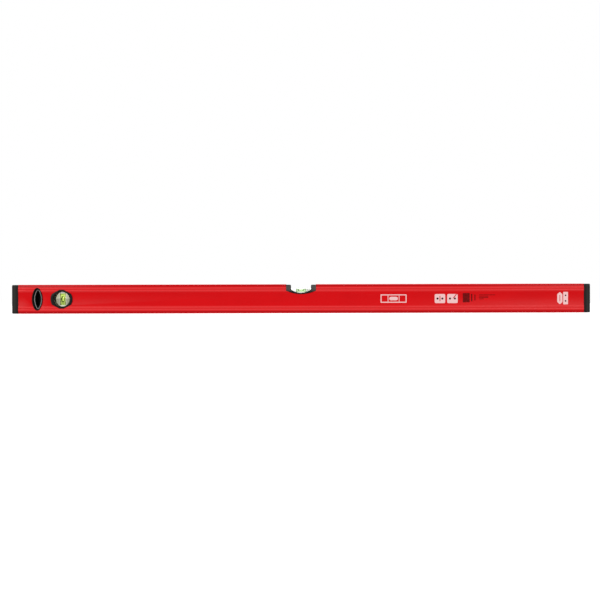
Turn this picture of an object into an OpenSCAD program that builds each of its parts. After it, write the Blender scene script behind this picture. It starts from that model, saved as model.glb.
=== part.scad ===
// Box-section spirit level with a top-read level vial, a plumb vial and a hang slot.
//
// Frame: +X runs along the level, +Z points up from the working base, and the front face
// looks towards -Y. The origin is the middle of the base face. Every size is in millimetres.
// The level comes apart into a box profile, two end caps, a lined hang slot, a level vial in
// its housing and a plumb vial between two bezels. Only the two air bubbles move.

/* [Overall] */
// Length over both end caps
level_length = 1000; // [400:50:1200]
// Height between the two measuring faces
level_height = 50; // [48:1:60]
// Depth over the rib crests, which is also the depth over the bezels
level_depth = 22; // [21.5:0.5:26]
// Length of each end cap that shows past the profile
cap_length = 11; // [9:0.5:13]

/* [Profile] */
// Thickness of the front and rear walls at the recessed field
face_wall = 1.6; // [1.2:0.1:1.8]
// Thickness of the base wall and the top wall
rail_wall = 2.4; // [2:0.1:3]
// Height of the curved edge beside each measuring face
edge_height = 5; // [4.5:0.1:5.4]
// Radius of that curved edge
edge_radius = 9; // [8:0.5:10]
// Radius where the curved edge meets the measuring face
corner_radius = 0.6; // [0.4:0.1:0.8]
// Height of the two lines of ribs above the measuring faces
rib_heights = [6.5, 10.7];
// Width of one rib
rib_width = 1.8; // [1.2:0.1:2]
// How far a rib stands out of its land
rib_rise = 0.4; // [0.3:0.05:0.5]
// Height of the ribbed land from each measuring face
land_height = 12.4; // [12:0.1:13]
// How deep the middle field lies below the lands
field_recess = 0.4; // [0.2:0.05:0.6]

/* [Level vial] */
// Width of the window in the top of the profile
window_width = 51.6; // [48:0.2:56]
// Depth of the window at its middle, from the top face
window_depth = 16.9; // [16.5:0.1:17.5]
// Radius of the bottom of the window
window_radius = 60; // [55:1:80]
// Width of the viewing opening in the housing
viewing_width = 35; // [32:0.5:37]
// Depth of the viewing opening at its middle, from the top face
viewing_depth = 14.8; // [14.4:0.1:15.2]
// Radius of the bottom of the viewing opening
viewing_radius = 28; // [26:1:36]
// Radius of the lower corners of the viewing opening
viewing_corner = 4; // [3:0.5:5]
// Length of the clear vial block
block_length = 40; // [38:0.5:42]
// Depth of the top of the vial block below the top face
block_drop = 6.5; // [6:0.1:7]
// Height of the vial block
block_height = 9; // [8.8:0.1:9.4]
// Diameter of the spirit chamber
level_bore = 5.6; // [5:0.1:6]
// Length of the spirit chamber
level_chamber = 17.5; // [16:0.5:20]
// Length of the air bubble
level_bubble_length = 8.6; // [8:0.1:9]
// Distances of the marker rings from the middle
level_ring_offsets = [4.7, 7.6];

/* [Plumb vial] */
// Distance of the plumb vial from the left end of the level
plumb_from_end = 86; // [80:1:110]
// Radius of the bezel's rounded left and right sides
bezel_radius = 18.9; // [18.5:0.1:19.5]
// Distance of the bezel's four slanted sides from its middle
bezel_slant = 16; // [15.9:0.1:16.4]
// Direction in which a slanted side faces, from the length of the level
bezel_slant_angle = 61.7; // [58:0.1:64]
// Half of the bezel's height
bezel_half_height = 16.2; // [16:0.1:16.6]
// Radius of the bezel's barrel
barrel_radius = 15.3; // [15:0.1:15.4]
// Radius of the bezel's mouth
mouth_radius = 14.2; // [13.8:0.1:14.4]
// Depth at which the vial puck lies below the bezel's face
puck_depth = 4.8; // [4:0.1:5.2]
// Radius of the vial puck
puck_radius = 13.2; // [13:0.1:13.3]
// Diameter of the spirit chamber
plumb_bore = 10.4; // [9:0.1:10.6]
// Length of the spirit chamber
plumb_chamber = 20; // [18:0.5:20]
// Length of the air bubble
plumb_bubble_length = 9.6; // [9:0.1:10]
// Distances of the marker rings from the middle
plumb_ring_offsets = [5.1, 8];

/* [Hang slot] */
// Distance of the hang slot from the left end of the level
slot_from_end = 44; // [40:1:50]
// Width and height of the liner's flange
flange_size = [18.6, 39];
// Width and height of the mouth at the flange's face
mouth_size = [16.4, 36.9];
// Width and height of the mouth's foot
mouth_foot = [12.6, 33];
// Depth of the mouth
slot_mouth_depth = 5; // [3:0.5:7]
// Width and height of the pointed slot below the mouth
slot_size = [8.4, 27.6];

/* [Hidden] */

$fn = 96;

// Colours
coat_red = [0.82, 0.05, 0.07];
moulded_black = [0.10, 0.10, 0.09];
rubber_charcoal = [0.19, 0.18, 0.17];
white_plastic = [0.94, 0.95, 0.92];
clear_acrylic = [0.86, 0.90, 0.84, 0.45];
spirit_green = [0.62, 0.80, 0.25, 0.75];
bubble_air = [0.90, 0.97, 0.72, 0.60];
marker_black = [0.08, 0.10, 0.05];
glue_amber = [0.75, 0.68, 0.48];

// Clearances
seat_gap = 0.1;     // between a moulding and the opening it drops into
bore_gap = 0.02;    // between a filling and the bore that holds it
bubble_gap = 0.1;   // between a bubble and the channel in its spirit
past = 1;           // how far a cutting shape runs past what it cuts

// Profile
half_depth = level_depth / 2;
mid_z = level_height / 2;
profile_end = level_length / 2 - cap_length;
land_y = half_depth - rib_rise;
field_y = land_y - field_recess;
cavity_y = field_y - face_wall;
cavity_corner = 1;
field_ramp = 1.2;
rib_radius = (pow(rib_width / 2, 2) + pow(rib_rise, 2)) / (2 * rib_rise);
edge_centre_y = land_y - edge_radius;
corner_y = edge_centre_y
    + sqrt(pow(edge_radius - corner_radius, 2) - pow(edge_height - corner_radius, 2));

// End caps
plug_flange = 2;
plug_reach = 18;
plug_gap = 0.4;
plug_wall = 2;
crush_rib = 1.2;
boss_size = [5, 9, 26];
boss_neck = 2;
boss_undercut = 1;
bumper_inset = 0.2;
bumper_round = 1.2;
bumper_groove = [0.6, 1.2];
bumper_groove_half = 7;
bumper_groove_pitch = 6;

// Level vial
window_half = window_width / 2;
window_bottom = level_height - window_depth;
viewing_bottom = level_height - viewing_depth;
housing_y = half_depth - 0.1;
housing_top = level_height - 0.8;
housing_flare = 1.2;
cheek_corner = 1.5;
viewing_half = viewing_width / 2;
viewing_arc_z = viewing_bottom + viewing_radius;
corner_x = viewing_half - viewing_corner;
corner_z = viewing_arc_z
    - sqrt(pow(viewing_radius - viewing_corner, 2) - pow(corner_x, 2));
keel_half = window_half - 1.3;
keel_y = cavity_y - seat_gap;
keel_bottom = window_bottom - 2.6;
keel_wall = 1.5;
block_y = keel_y - keel_wall;
block_top = level_height - block_drop;
block_bottom = block_top - block_height;
level_axis_z = block_top - level_bore / 2 - 1.4;
level_bubble_radius = 1.9;
level_bubble_rise = 0.5;
reflector_bottom = keel_bottom + 0.4;
reflector_trough = 0.9;
ring_width = 0.4;
ring_depth = 0.15;
glue_radius = 3.5;

// Plumb vial
plumb_x = plumb_from_end - level_length / 2;
puck_y = half_depth - puck_depth;
lip_radius = puck_radius - 0.5;
lip_width = 0.8;
plumb_bubble_radius = 3.4;
key_width = 2.8;
key_height = 1;
glue_ring = 1;

// Hang slot
slot_x = slot_from_end - level_length / 2;
liner_barrel = [17.4, 37.9];
flange_tip = 5.2;
barrel_tip = 4.7;
mouth_tip = 4.2;
foot_tip = 2.6;
slot_web = 1.2;
thin = 0.01;        // thickness of the slices that a hull joins
slot_centre = (pow(slot_size[1] / 2, 2) - pow(slot_size[0] / 2, 2)) / slot_size[0];
slot_radius = slot_centre + slot_size[0] / 2;

// ---- Helpers ----

// Extrudes an outline drawn in X and Z between two depths.
module slab(y_from, y_to)
    translate([0, y_to, 0]) rotate([90, 0, 0]) linear_extrude(y_to - y_from) children();

// Extrudes an outline drawn in Y and Z between two places along the level.
module bar(x_from, x_to)
    translate([x_from, 0, 0]) rotate([90, 0, 90]) linear_extrude(x_to - x_from) children();

// Draws its children on both sides of the plane that halves the level's depth.
module front_and_rear() {
    children();
    mirror([0, 1, 0]) children();
}

module rounded_rect(width, height, radius) {
    square([width - 2 * radius, height], center = true);
    square([width, height - 2 * radius], center = true);
    for (x = [-1, 1], y = [-1, 1])
        translate([x * (width / 2 - radius), y * (height / 2 - radius)]) circle(radius);
}

// An upright oval of two long side arcs and two tip arcs that meet them without a corner.
module oval(size, tip) {
    a = size[0] / 2;
    b = size[1] / 2;
    centre = (pow(b - tip, 2) - pow(a - tip, 2)) / (2 * (a - tip));
    meet = (centre + a) * (b - tip) / sqrt(pow(centre, 2) + pow(b - tip, 2));
    intersection() {
        translate([-centre, 0]) circle(centre + a, $fn = 240);
        translate([centre, 0]) circle(centre + a, $fn = 240);
        square([size[0] + past, 2 * meet], center = true);
    }
    for (side = [-1, 1]) translate([0, side * (b - tip)]) circle(tip);
}

// A bar with ball ends along Z.
module capsule(length, radius) {
    cylinder(h = length - 2 * radius, r = radius, center = true);
    for (end = [-1, 1]) translate([0, 0, end * (length / 2 - radius)]) sphere(radius);
}

// ---- Profile ----

// One edge beside the base face: a flat, a small corner and the curved edge.
module edge_quarter(inset) {
    reach = (edge_radius - inset) / (edge_radius - corner_radius);
    tangent_z = edge_height - (edge_height - corner_radius) * reach;
    translate([0, inset]) square([corner_y, edge_height - inset]);
    translate([corner_y, corner_radius]) circle(corner_radius - inset);
    intersection() {
        translate([edge_centre_y, edge_height]) circle(edge_radius - inset, $fn = 180);
        translate([0, tangent_z]) square([land_y, edge_height - tangent_z]);
    }
}

// The level's plain outline in Y and Z, drawn in by an inset.
module plain_outline(inset) {
    for (side = [0, 1]) mirror([side, 0]) {
        edge_quarter(inset);
        translate([0, level_height]) mirror([0, 1]) edge_quarter(inset);
        translate([0, edge_height])
            square([land_y - inset, level_height - 2 * edge_height]);
    }
}

module field_cut() {
    foot = land_height;
    head = level_height - land_height;
    polygon([
        [land_y, foot], [field_y, foot + field_ramp], [field_y, head - field_ramp],
        [land_y, head], [half_depth + past, head], [half_depth + past, foot]
    ]);
}

module rib_outline(z)
    translate([half_depth - rib_radius, z]) circle(rib_radius);

module profile_section() {
    difference() {
        union() {
            plain_outline(0);
            for (side = [0, 1], height = rib_heights) mirror([side, 0]) {
                rib_outline(height);
                rib_outline(level_height - height);
            }
        }
        for (side = [0, 1]) mirror([side, 0]) field_cut();
        translate([0, mid_z])
            rounded_rect(2 * cavity_y, level_height - 2 * rail_wall, cavity_corner);
    }
}

// The window's outline, drawn in by an inset and cut off at a height.
module window_outline(inset, top) {
    intersection() {
        translate([-window_half + inset, 0]) square([window_width - 2 * inset, top]);
        translate([0, window_bottom + window_radius])
            circle(window_radius - inset, $fn = 360);
    }
}

module box_profile() {
    color(coat_red) difference() {
        bar(-profile_end, profile_end) profile_section();
        slab(-level_depth, level_depth) window_outline(0, level_height + past);
        translate([plumb_x, 0, mid_z]) {
            slab(-level_depth, level_depth) circle(barrel_radius + seat_gap);
            front_and_rear() slab(-level_depth, -field_y) bezel_outline(seat_gap);
        }
        translate([slot_x, 0, mid_z]) {
            slab(-level_depth, level_depth) oval(grown(liner_barrel), barrel_tip + seat_gap);
            front_and_rear() slab(-level_depth, -field_y)
                oval(grown(flange_size), flange_tip + seat_gap);
        }
    }
}

// An oval's size with the seat gap added all round.
function grown(size) = [for (side = size) side + 2 * seat_gap];

// ---- End caps ----

// The hard plug in the right-hand end of the profile, with the boss that holds the bumper.
module cap_plug() {
    plug_start = profile_end - plug_reach;
    plug_depth = 2 * (cavity_y - plug_gap);
    plug_height = level_height - 2 * rail_wall - 2 * plug_gap;
    boss_start = profile_end + plug_flange;
    color(moulded_black) {
        bar(profile_end, boss_start) plain_outline(bumper_inset);
        difference() {
            union() {
                bar(plug_start, profile_end) translate([0, mid_z])
                    rounded_rect(plug_depth, plug_height, cavity_corner);
                for (side = [-1, 1]) {
                    for (z = [-2 : 2])
                        translate([plug_start + crush_rib, side * (plug_depth - crush_rib) / 2,
                                   mid_z + z * plug_height / 6])
                            crush_bar([plug_reach - crush_rib, crush_rib + 2 * plug_gap, crush_rib]);
                    for (y = [-1, 1])
                        translate([plug_start + crush_rib, y * plug_depth / 4,
                                   mid_z + side * (plug_height - crush_rib) / 2])
                            crush_bar([plug_reach - crush_rib, crush_rib, crush_rib + 2 * plug_gap]);
                }
            }
            bar(plug_start - past, profile_end - plug_wall) translate([0, mid_z])
                rounded_rect(plug_depth - 2 * plug_wall, plug_height - 2 * plug_wall,
                             cavity_corner);
        }
        cap_boss(0);
    }
}

// A bar along the plug that the profile's wall squeezes, centred in Y and Z.
module crush_bar(size) translate([0, -size[1] / 2, -size[2] / 2]) cube(size);

// The boss that keys the bumper to the plug: a neck and a wider head.
module cap_boss(grow) {
    start = profile_end + plug_flange;
    bar(start, start + boss_neck) translate([0, mid_z])
        square([boss_size[1] - 2 * boss_undercut + 2 * grow,
                boss_size[2] - 2 * boss_undercut + 2 * grow], center = true);
    bar(start + boss_neck, start + boss_size[0] + grow) translate([0, mid_z])
        square([boss_size[1] + 2 * grow, boss_size[2] + 2 * grow], center = true);
}

// The soft bumper over the right-hand plug, with grip grooves across its end.
module cap_bumper() {
    start = profile_end + plug_flange;
    end = level_length / 2;
    shoulder = end - bumper_round;
    color(rubber_charcoal) difference() {
        hull() {
            bar(start, shoulder) plain_outline(bumper_inset);
            bar(shoulder, end - bumper_round / 3) plain_outline(corner_radius - thin);
            translate([0, 0, mid_z]) bar(end - thin, end)
                rounded_rect(2 * (land_y - bumper_round), level_height - 2 * bumper_round,
                             bumper_round);
        }
        cap_boss(0);
        for (row = [-3 : 3])
            translate([end - bumper_groove[0], -bumper_groove_half,
                       mid_z + row * bumper_groove_pitch - bumper_groove[1] / 2])
                cube([past + bumper_groove[0], 2 * bumper_groove_half, bumper_groove[1]]);
    }
}

module left_cap_plug() mirror([1, 0, 0]) cap_plug();
module left_cap_bumper() mirror([1, 0, 0]) cap_bumper();
module right_cap_plug() cap_plug();
module right_cap_bumper() cap_bumper();

// ---- Hang slot ----

// The pointed slot where two circles cross.
module slot_outline() {
    intersection_for (side = [-1, 1])
        translate([side * slot_centre, 0]) circle(slot_radius, $fn = 240);
}

// The sloping mouth that leads from the flange down to the pointed slot.
module slot_mouth() {
    hull() {
        slab(-half_depth - thin, -half_depth) oval(mouth_size, mouth_tip);
        slab(-half_depth + slot_mouth_depth - thin, -half_depth + slot_mouth_depth)
            oval(mouth_foot, foot_tip);
    }
}

// Half of the slot's lining. A web closes the slot in the middle of the level.
module front_liner() {
    color(moulded_black) translate([slot_x, 0, mid_z]) difference() {
        union() {
            slab(-half_depth, -field_y) oval(flange_size, flange_tip);
            slab(-field_y, 0) oval(liner_barrel, barrel_tip);
        }
        slab(-level_depth, -slot_web / 2) slot_outline();
        slot_mouth();
    }
}

module hang_slot_front_liner() front_liner();
module hang_slot_rear_liner() mirror([0, 1, 0]) front_liner();

// ---- Level vial ----

// The viewing opening between two depths, wider all round by a flare at the first of them.
// Its bottom is one wide arc, its lower corners are round and its sides are upright.
module viewing_cut(y_from, y_to, flare) {
    depth = y_to - y_from;
    reach = 2 * viewing_radius / (viewing_radius - viewing_corner);
    translate([0, y_from, viewing_arc_z]) rotate([-90, 0, 0]) intersection() {
        cylinder(h = depth, r1 = viewing_radius + flare, r2 = viewing_radius, $fn = 240);
        linear_extrude(depth)
            polygon([[0, 0], reach * [-corner_x, viewing_arc_z - corner_z],
                     reach * [corner_x, viewing_arc_z - corner_z]]);
    }
    for (side = [-1, 1]) translate([side * corner_x, y_from, corner_z]) rotate([-90, 0, 0])
        cylinder(h = depth, r1 = viewing_corner + flare, r2 = viewing_corner);
    translate([0, 0, corner_z]) linear_extrude(level_height + past - corner_z)
        polygon([[-viewing_half - flare, y_from], [viewing_half + flare, y_from],
                 [viewing_half, y_to], [-viewing_half, y_to]]);
}

// The corners that are rounded off the tops of the two cheeks, beside the opening.
module cheek_corners() {
    slab(-level_depth, level_depth) for (side = [0, 1]) mirror([side, 0])
        translate([viewing_half, housing_top - cheek_corner]) difference() {
            translate([-past, 0]) square(cheek_corner + past);
            translate([cheek_corner, 0]) circle(cheek_corner);
        }
}

// The black moulding in the window. The vial block goes in from below.
module level_housing() {
    color(moulded_black) difference() {
        union() {
            slab(-housing_y, housing_y) window_outline(seat_gap, housing_top);
            translate([-keel_half, -keel_y, keel_bottom])
                cube([2 * keel_half, 2 * keel_y, block_top - keel_bottom]);
        }
        viewing_cut(-level_depth, level_depth, 0);
        front_and_rear() viewing_cut(-housing_y, -housing_y + housing_flare, housing_flare);
        cheek_corners();
        translate([-block_length / 2, -block_y, keel_bottom - past])
            cube([block_length, 2 * block_y, block_top - keel_bottom + past]);
    }
}

// The white tray that closes the housing from below and lights the vial.
module level_reflector() {
    reflector_top = block_bottom;
    color(white_plastic) difference() {
        translate([-block_length / 2, -block_y, reflector_bottom])
            cube([block_length, 2 * block_y, reflector_top - reflector_bottom]);
        translate([0, 0, reflector_top + viewing_radius / 2 - reflector_trough])
            rotate([0, 90, 0])
                cylinder(h = level_chamber + 2 * past, r = viewing_radius / 2, center = true);
    }
}

module level_vial_block() {
    color(clear_acrylic) difference() {
        translate([-block_length / 2, -block_y, block_bottom])
            cube([block_length, 2 * block_y, block_height]);
        translate([-level_chamber / 2, 0, level_axis_z]) rotate([0, 90, 0])
            cylinder(h = block_length, d = level_bore);
        for (x = ring_places(level_ring_offsets))
            translate([x, 0, level_axis_z]) rotate([0, 90, 0])
                cylinder(h = ring_width, r = level_bore / 2 + ring_depth, center = true);
    }
}

// Each ring's distance, on both sides of the middle.
function ring_places(offsets) = [for (side = [-1, 1], offset = offsets) side * offset];

// The plug that seals the bore of the vial block.
module level_vial_plug() {
    plug_length = 7;
    color(white_plastic) translate([level_chamber / 2, 0, level_axis_z]) rotate([0, 90, 0])
        cylinder(h = plug_length, r = level_bore / 2 - bore_gap);
}

// The spirit, open along its top where the bubble travels.
module level_spirit() {
    color(spirit_green) translate([0, 0, level_axis_z]) rotate([0, 90, 0]) difference() {
        cylinder(h = level_chamber - 2 * bore_gap, r = level_bore / 2 - bore_gap, center = true);
        translate([-level_bubble_rise, 0, 0])
            capsule(level_chamber - 4 * bubble_gap, level_bubble_radius + bubble_gap);
    }
}

module level_bubble() {
    color(bubble_air) translate([0, 0, level_axis_z + level_bubble_rise]) rotate([0, 90, 0])
        capsule(level_bubble_length, level_bubble_radius);
}

// A ring set into the wall of a bore along Z.
module marker_ring(bore) {
    difference() {
        cylinder(h = ring_width - 2 * bore_gap, r = bore / 2 + ring_depth - bore_gap,
                 center = true);
        cylinder(h = 2 * ring_width, r = bore / 2, center = true);
    }
}

module level_marker_rings() {
    color(marker_black) for (x = ring_places(level_ring_offsets))
        translate([x, 0, level_axis_z]) rotate([0, 90, 0]) marker_ring(level_bore);
}

// The glue in the corner between each end of the housing and the top wall.
module level_adhesive_beads() {
    bead_y = cavity_y - cavity_corner - seat_gap;
    start = window_half - seat_gap;
    color(glue_amber) for (side = [0, 1]) mirror([side, 0, 0]) intersection() {
        translate([start, 0, level_height - rail_wall]) rotate([90, 0, 0])
            cylinder(h = 2 * bead_y, r = glue_radius, center = true);
        translate([start, -bead_y, level_height - rail_wall - glue_radius])
            cube([glue_radius, 2 * bead_y, glue_radius]);
    }
}

// ---- Plumb vial ----

// The bezel's outline: a round with four slanted sides and a trimmed top and bottom.
module bezel_outline(grow) {
    reach = (bezel_slant + grow) / cos(bezel_slant_angle);
    rise = (bezel_slant + grow) / sin(bezel_slant_angle);
    intersection() {
        circle(bezel_radius + grow, $fn = 240);
        polygon([[reach, 0], [0, rise], [-reach, 0], [0, -rise]]);
        square([4 * bezel_radius, 2 * (bezel_half_height + grow)], center = true);
    }
}

// Half of the plumb housing: a flange on the face, a barrel through the wall, a lip that
// holds the puck and a key that stops it turning.
module front_bezel() {
    color(moulded_black) translate([plumb_x, 0, mid_z]) {
        difference() {
            union() {
                slab(-half_depth, -field_y) bezel_outline(0);
                slab(-field_y, 0) circle(barrel_radius);
            }
            slab(-level_depth, past) circle(lip_radius);
            slab(-puck_y, past) circle(puck_radius + seat_gap);
            translate([0, -half_depth, 0]) rotate([-90, 0, 0])
                cylinder(h = puck_depth - lip_width, r1 = mouth_radius, r2 = lip_radius);
        }
        slab(-puck_y, 0) intersection() {
            circle(barrel_radius - seat_gap);
            translate([-key_width / 2, -puck_radius - 2 * seat_gap])
                square([key_width, key_height]);
        }
    }
}

module plumb_front_bezel() front_bezel();
module plumb_rear_bezel() mirror([0, 1, 0]) front_bezel();

module plumb_vial_puck() {
    color(clear_acrylic) translate([plumb_x, 0, mid_z]) difference() {
        slab(-puck_y, puck_y) circle(puck_radius);
        translate([0, 0, -plumb_chamber / 2])
            cylinder(h = plumb_chamber + puck_radius, d = plumb_bore);
        for (z = ring_places(plumb_ring_offsets)) translate([0, 0, z])
            cylinder(h = ring_width, r = plumb_bore / 2 + ring_depth, center = true);
        translate([-key_width / 2 - seat_gap, -level_depth, -puck_radius - past])
            cube([key_width + 2 * seat_gap, 2 * level_depth, key_height + past]);
    }
}

module plumb_vial_plug() {
    plug_length = 2;
    color(white_plastic) translate([plumb_x, 0, mid_z + plumb_chamber / 2])
        cylinder(h = plug_length, r = plumb_bore / 2 - bore_gap);
}

module plumb_spirit() {
    color(spirit_green) translate([plumb_x, 0, mid_z]) difference() {
        cylinder(h = plumb_chamber - 2 * bore_gap, r = plumb_bore / 2 - bore_gap, center = true);
        capsule(plumb_chamber - 4 * bubble_gap, plumb_bubble_radius + bubble_gap);
    }
}

module plumb_bubble() {
    color(bubble_air) translate([plumb_x, 0, mid_z])
        capsule(plumb_bubble_length, plumb_bubble_radius);
}

module plumb_marker_rings() {
    color(marker_black) for (z = ring_places(plumb_ring_offsets))
        translate([plumb_x, 0, mid_z + z]) marker_ring(plumb_bore);
}

// The rings of glue that hold the barrels to the inside of the front and rear walls.
module plumb_adhesive_rings() {
    color(glue_amber) translate([plumb_x, 0, mid_z]) front_and_rear()
        slab(-cavity_y, -cavity_y + glue_ring) difference() {
            circle(barrel_radius + glue_ring);
            circle(barrel_radius);
        }
}

box_profile();
left_cap_plug();
left_cap_bumper();
right_cap_plug();
right_cap_bumper();
hang_slot_front_liner();
hang_slot_rear_liner();
level_housing();
level_reflector();
level_vial_block();
level_vial_plug();
level_spirit();
level_bubble();
level_marker_rings();
level_adhesive_beads();
plumb_front_bezel();
plumb_rear_bezel();
plumb_vial_puck();
plumb_vial_plug();
plumb_spirit();
plumb_bubble();
plumb_marker_rings();
plumb_adhesive_rings();
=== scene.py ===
"""Looks for a box-section spirit level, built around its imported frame.

Each sub-assembly is a class that makes its own meshes and dresses the CAD nodes that it holds. Finishes are small
frozen dataclasses that build one material each. Every length comes from the frame or from a named field or value, and
is in metres, except in Prints, which works in millimetres.
"""

import logging
import math
from dataclasses import dataclass, field
from enum import Enum
from typing import Iterable, Optional, Sequence, Union

import bmesh
import bpy
from mathutils import Matrix, Vector


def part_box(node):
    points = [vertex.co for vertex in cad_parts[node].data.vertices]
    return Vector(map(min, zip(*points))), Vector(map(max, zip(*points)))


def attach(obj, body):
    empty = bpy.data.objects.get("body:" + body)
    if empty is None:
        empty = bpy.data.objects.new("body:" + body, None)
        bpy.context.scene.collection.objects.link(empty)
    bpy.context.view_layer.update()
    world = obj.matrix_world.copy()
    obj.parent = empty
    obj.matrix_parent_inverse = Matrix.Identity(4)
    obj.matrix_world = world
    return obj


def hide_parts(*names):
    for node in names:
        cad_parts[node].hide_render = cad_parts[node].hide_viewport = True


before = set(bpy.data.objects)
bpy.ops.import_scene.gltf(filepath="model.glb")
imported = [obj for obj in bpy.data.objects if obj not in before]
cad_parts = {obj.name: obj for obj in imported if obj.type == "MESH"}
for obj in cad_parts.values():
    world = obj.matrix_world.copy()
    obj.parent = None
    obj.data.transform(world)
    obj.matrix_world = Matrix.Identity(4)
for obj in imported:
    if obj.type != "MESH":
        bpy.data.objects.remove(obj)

logging.basicConfig(level=logging.INFO, format="%(name)s: %(message)s")
log = logging.getLogger("spirit_level")

MM = 0.001
FRAME_BODY = "level_frame"
LEVEL_BUBBLE_BODY = "level_bubble_body"
PLUMB_BUBBLE_BODY = "plumb_bubble_body"
ACRYLIC_INDEX = 1.49
SPIRIT_INDEX = 1.36
MIX_FACTOR, MIX_LOW, MIX_HIGH, MIX_RESULT = 0, 6, 7, 2   # a Mix node's sockets when it mixes colours
NOISE_ROUGHNESS = 0.55
COPY_WELD = 0.002 * MM   # corners of a CAD copy's loose triangles that are this close are one corner
BEAD_WELD = 0.01 * MM
LAST_WELD = 1e-7
FLAT_ANGLE = 0.5         # faces of a CAD copy that meet at less than this, in degrees, are one face
ROUND_STEPS = 3          # faces across a rounded edge
ALL_SMOOTH = 80.0        # the crease angle, in degrees, of a piece that is round all over

Colour = tuple[float, float, float]
Number = Union[float, "Wire"]


class Axis(Enum):
    """A row axis, as the turn that carries +Z onto it."""

    X = Matrix.Rotation(math.pi / 2, 4, "Y")
    Y = Matrix.Rotation(-math.pi / 2, 4, "X")
    Z = Matrix.Identity(4)


# ---- Shader maths ----


class Nodes:
    """A node tree under construction. Every node in it comes from add."""

    def __init__(self, tree: bpy.types.NodeTree) -> None:
        """Empties the tree."""
        self.tree = tree
        tree.nodes.clear()

    def add(self, kind: str, settings: dict, inputs: dict, output: Union[int, str] = 0) -> Optional["Wire"]:
        """Adds a node.

        Args:
            kind: The node's type.
            settings: Its own settings, such as an operation.
            inputs: Plain values or wires for its input sockets, by name or place.
            output: The output wanted.

        Returns:
            That output, or nothing where the node has none.
        """
        node = self.tree.nodes.new(kind)
        for name, value in settings.items():
            setattr(node, name, value)
        for key, value in inputs.items():
            socket = node.inputs[key]
            if isinstance(value, Wire):
                self.tree.links.new(value.socket, socket)
            elif socket.type == "RGBA":
                socket.default_value = (*value, 1.0)
            else:
                socket.default_value = value
        return Wire(self, node.outputs[output]) if node.outputs else None


class Wire:
    """A value in a node tree. Arithmetic on it adds Math nodes."""

    def __init__(self, nodes: Nodes, socket: bpy.types.NodeSocket) -> None:
        """Wraps an output socket of a tree."""
        self.nodes = nodes
        self.socket = socket

    def other(self, output: str) -> "Wire":
        """Another output of the same node."""
        return Wire(self.nodes, self.socket.node.outputs[output])

    def _math(self, operation: str, *values: Number) -> "Wire":
        """Adds one Math node.

        Args:
            operation: The node's operation.
            values: What its inputs take, in order.

        Returns:
            The node's result.
        """
        return self.nodes.add("ShaderNodeMath", {"operation": operation}, dict(enumerate(values)))

    def __add__(self, other: Number) -> "Wire":
        """This value plus another."""
        return self._math("ADD", self, other)

    def __radd__(self, other: Number) -> "Wire":
        """Another value plus this one."""
        return self._math("ADD", other, self)

    def __sub__(self, other: Number) -> "Wire":
        """This value less another."""
        return self._math("SUBTRACT", self, other)

    def __rsub__(self, other: Number) -> "Wire":
        """Another value less this one."""
        return self._math("SUBTRACT", other, self)

    def __mul__(self, other: Number) -> "Wire":
        """This value times another."""
        return self._math("MULTIPLY", self, other)

    def __rmul__(self, other: Number) -> "Wire":
        """Another value times this one."""
        return self._math("MULTIPLY", other, self)

    def __abs__(self) -> "Wire":
        """This value without its sign."""
        return self._math("ABSOLUTE", self)

    def least(self, other: Number) -> "Wire":
        """The lower of this value and another."""
        return self._math("MINIMUM", self, other)

    def most(self, other: Number) -> "Wire":
        """The higher of this value and another."""
        return self._math("MAXIMUM", self, other)

    def ramp(self, start: float, end: float) -> "Wire":
        """A smooth step of this value.

        Args:
            start: Where the step is 0.
            end: Where it is 1. It may lie below start.

        Returns:
            The step, held between 0 and 1.
        """
        rising = start < end
        return self.nodes.add(
            "ShaderNodeMapRange", {"interpolation_type": "SMOOTHSTEP"},
            {"Value": self, "From Min": min(start, end), "From Max": max(start, end),
             "To Min": 0.0 if rising else 1.0, "To Max": 1.0 if rising else 0.0},
            "Result",
        )


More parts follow.
